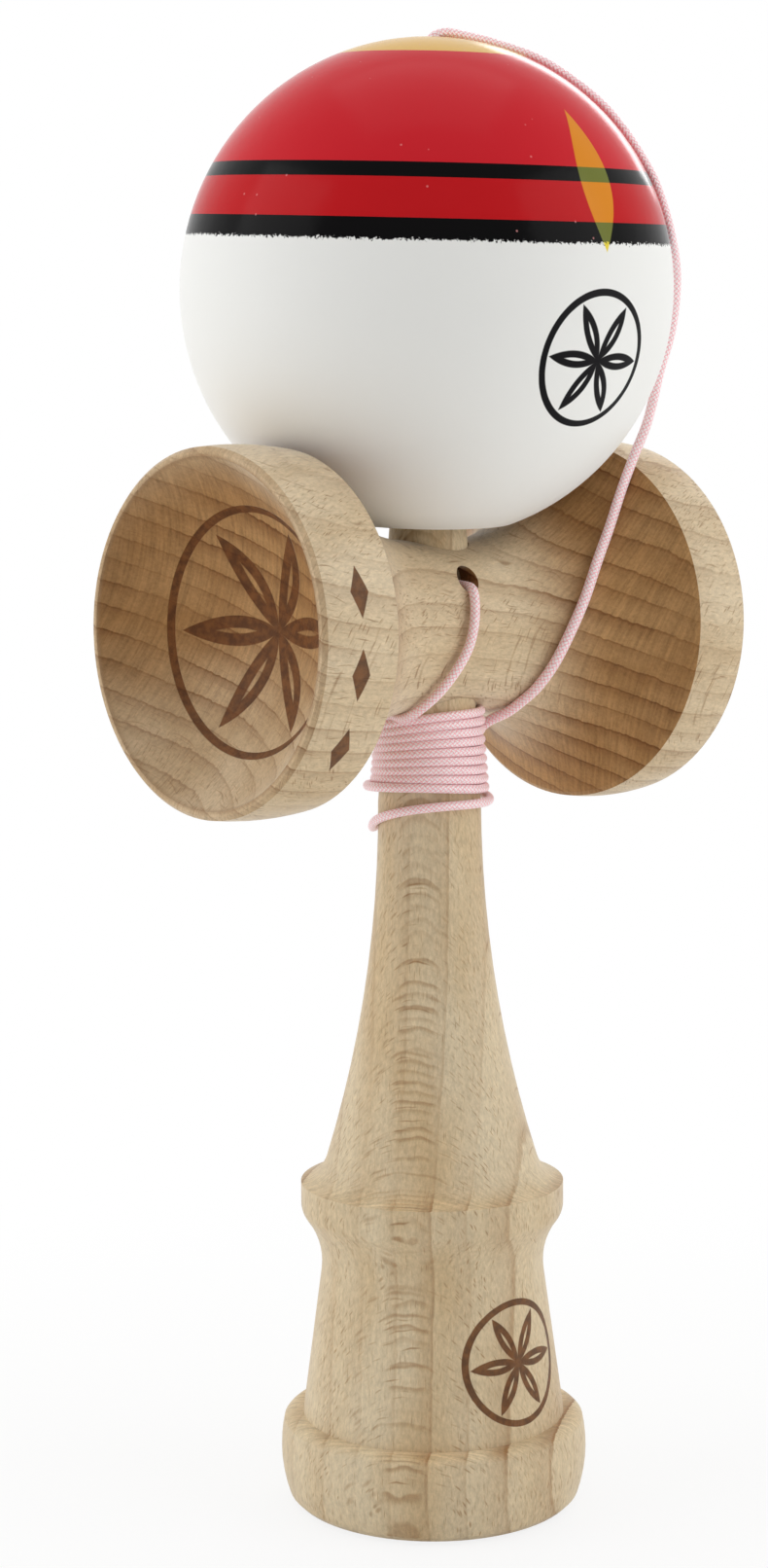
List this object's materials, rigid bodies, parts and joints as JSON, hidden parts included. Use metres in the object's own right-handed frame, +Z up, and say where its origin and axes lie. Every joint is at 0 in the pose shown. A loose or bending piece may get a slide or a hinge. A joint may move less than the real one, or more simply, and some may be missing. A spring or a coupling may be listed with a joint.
{
  "type": "kendama",
  "caption": "Wooden skill toy: a turned handle with a spike and base cup, a crosspiece with a cup at each end, and a holed ball tied on by a cord wound round the neck.",
  "frame": {"origin": "centre of the base ring, on the plane that the handle stands on", "axes": "+Z up the handle to the spike, +X along the crosspiece to the big cup, -Y to the side with the cord hole"},
  "size_m": [0.0689, 0.06, 0.1831],
  "materials": {
    "beech": "pale sanded beech, grain up the handle",
    "beech_cross": "pale sanded beech, grain along the crosspiece",
    "ball_paint": "turned wood painted red, black and white under a gloss coat",
    "bead_wood": "plain turned wood",
    "cord": "fine pale pink braid"
  },
  "bodies": {
    "handle": {"handle": "beech", "crosspiece": "beech_cross", "handle_knot": "cord", "cord_lead": "cord", "cord_winding": "cord", "cord_run": "cord"},
    "bead": {"ball_bead": "bead_wood", "bead_knot": "cord"},
    "ball": {"ball": "ball_paint"}
  },
  "joints": [
    {"name": "ball_lift", "type": "slide", "parent": "handle", "child": "bead", "axis": [0, 0, 1], "range_m": [0, 0.045], "deforming": ["cord_run"]},
    {"name": "ball_spin", "type": "hinge", "parent": "bead", "child": "ball", "pos_m": [0, 0, 0.15032], "axis": [-0.0522, -0.1024, 0.9934], "continuous": true}
  ]
}
